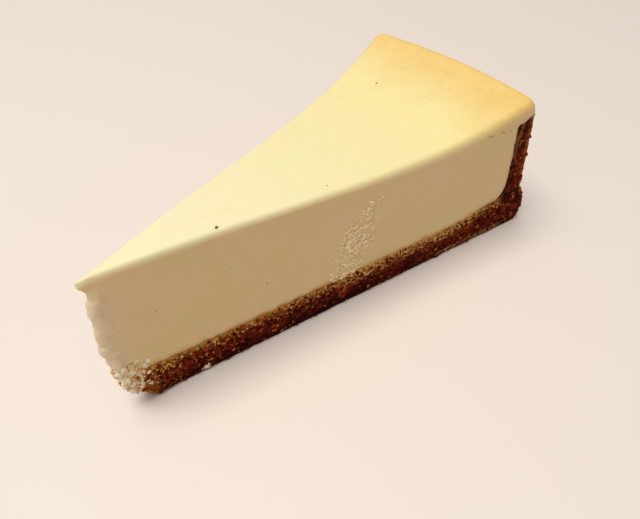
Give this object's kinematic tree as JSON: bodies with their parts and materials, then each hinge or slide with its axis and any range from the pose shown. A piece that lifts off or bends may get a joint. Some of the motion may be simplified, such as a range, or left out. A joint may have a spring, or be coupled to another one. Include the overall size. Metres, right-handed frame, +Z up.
{
  "type": "baked cheesecake slice",
  "caption": "Wedge of plain baked cheesecake on a pressed crumb crust, with a crumb wall round its rim and a browned, dished top.",
  "frame": {"origin": "on the surface that the slice stands on, below the middle of its bounding box", "axes": "+X from the tip to the rim, +Z up"},
  "size_m": [0.1284, 0.0584, 0.0456],
  "materials": {
    "baked_cheese": "smooth pale cream baked cheese filling, matt where cut, with a thin satin skin that browns to gold near the rim",
    "baked_crumb": "pressed biscuit crumb, dark reddish brown with ochre crumbs, coarse and slightly greasy"
  },
  "bodies": {
    "root": {"cheese_filling": "baked_cheese", "crumb_crust": "baked_crumb"}
  },
  "joints": []
}
